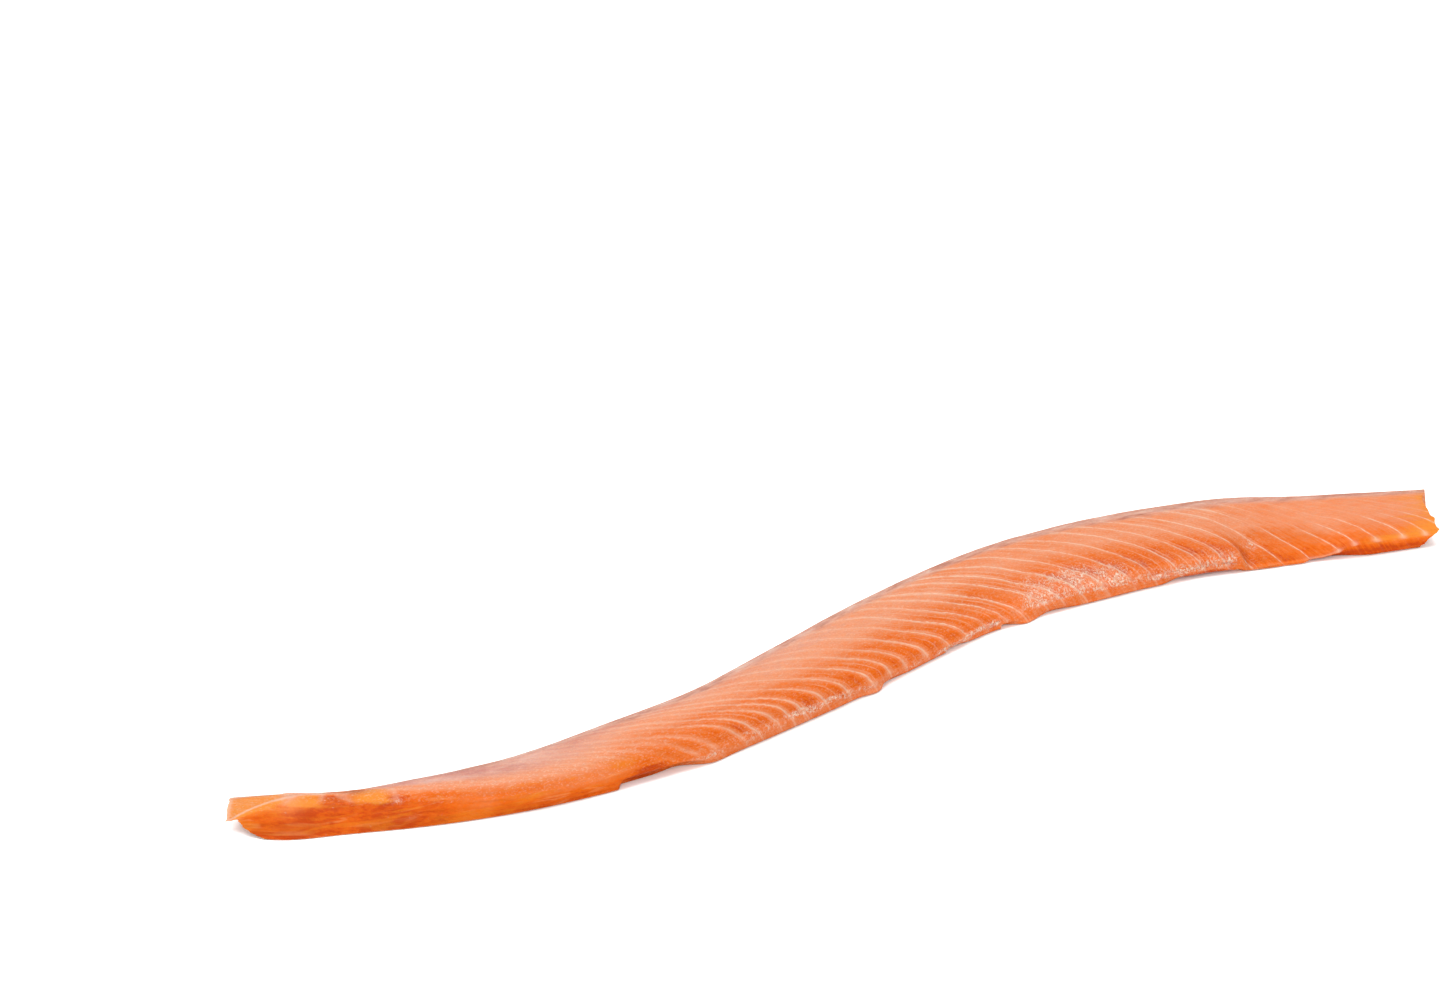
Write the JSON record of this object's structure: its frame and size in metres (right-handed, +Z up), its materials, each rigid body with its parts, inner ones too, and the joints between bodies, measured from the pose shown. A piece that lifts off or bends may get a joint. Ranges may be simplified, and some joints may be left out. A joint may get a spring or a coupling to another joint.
{
  "type": "steelhead trout strip",
  "caption": "Long raw fish strip cut lengthwise from a side, lying in a lazy S on a cut face: orange flesh, pale muscle lines, silvery skinned edge.",
  "frame": {"origin": "middle of the strip's plan box, on the surface that it rests on", "axes": "+X along the strip from the thin tail end to the thick head end, +Y towards the skinned side, +Z up"},
  "size_m": [0.3976, 0.063, 0.0136],
  "materials": {
    "trout_flesh": "moist raw orange flesh with pale pink muscle lines, deeper orange on the inner side, silvery grey-brown on the skinned side"
  },
  "bodies": {
    "root": {"trout_strip": "trout_flesh"}
  },
  "joints": []
}
